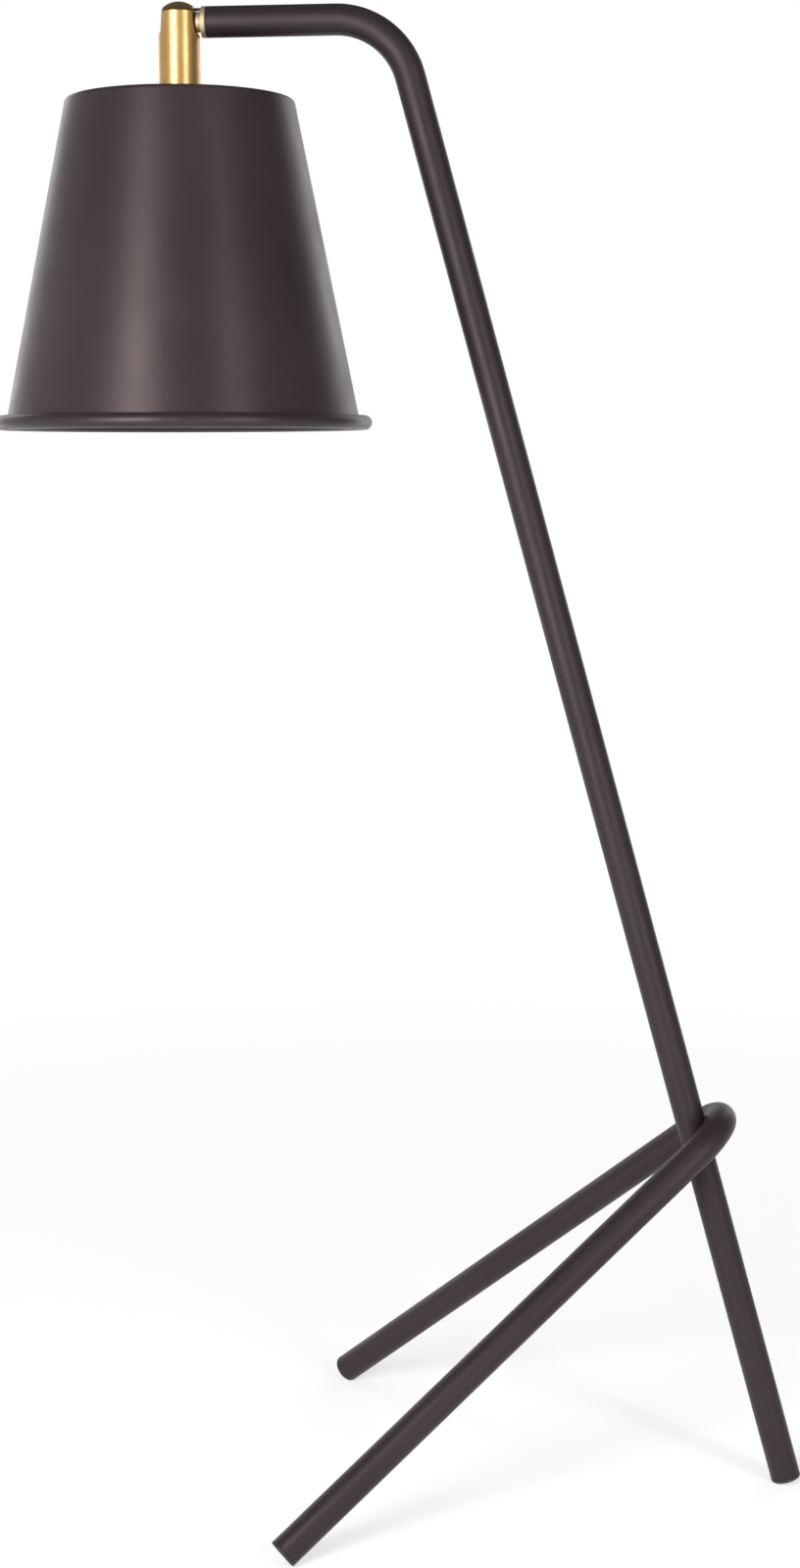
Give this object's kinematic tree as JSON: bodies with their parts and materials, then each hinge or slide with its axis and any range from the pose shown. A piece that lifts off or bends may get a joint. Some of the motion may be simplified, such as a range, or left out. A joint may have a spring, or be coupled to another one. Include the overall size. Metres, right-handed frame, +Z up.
{
  "type": "tripod table lamp",
  "caption": "Table lamp on a leaning tube pole propped by a hairpin leg, with a short level arm and a spun metal cone shade that tilts on a brass swivel.",
  "frame": {"origin": "on the floor, under the middle of the lamp's width and depth", "axes": "+Z up, +X from the shade towards the pole's foot, +Y to the back, away from the pictured side"},
  "size_m": [0.3434, 0.222, 0.6269],
  "materials": {
    "frame_paint": "satin dark bronze paint on steel",
    "shade_paint": "satin dark bronze paint on spun aluminium",
    "end_plug": "matte",
    "grommet": "matte",
    "lead_jacket": "matte",
    "core_insulation": "satin",
    "brass": "polished, lacquered",
    "zinc_steel": "zinc plated",
    "dark_steel": "blackened",
    "fibre_washer": "matte",
    "phenolic": "moulded",
    "contact_brass": "plain",
    "bulb_glass": "frosted inside",
    "mount_glass": "clear",
    "filament": "drawn wire",
    "cap_aluminium": "pressed",
    "solder": "dull"
  },
  "bodies": {
    "stand": {"pole_tube": "frame_paint", "hairpin_leg": "frame_paint", "brazed_joint": "frame_paint", "pole_plug": "end_plug", "leg_plugs": "end_plug", "inlet_grommet": "grommet", "pole_lead": "lead_jacket", "lead_cores": "core_insulation", "arm_bushing": "brass"},
    "head": {"swivel_stem": "brass", "pivot_spindle": "zinc_steel", "stop_pin": "dark_steel", "slip_washer": "fibre_washer", "spring_washer": "zinc_steel", "pivot_nut": "zinc_steel", "head_cores": "core_insulation", "threaded_nipple": "zinc_steel", "shade": "shade_paint", "shade_washer": "zinc_steel", "shade_nut": "zinc_steel", "holder_cap": "phenolic", "holder_body": "phenolic", "screw_shell": "contact_brass", "centre_contact": "contact_brass", "terminal_screws": "contact_brass", "bulb_glass": "bulb_glass", "bulb_mount": "mount_glass", "bulb_filament": "filament", "bulb_cap": "cap_aluminium", "bulb_insulator": "phenolic", "bulb_contact": "solder"}
  },
  "joints": [
    {"name": "head_tilt", "type": "hinge", "parent": "stand", "child": "head", "pos_m": [-0.09261, 0, 0.6185], "axis": [1, 0, 0], "range_deg": [-90, 90]}
  ]
}
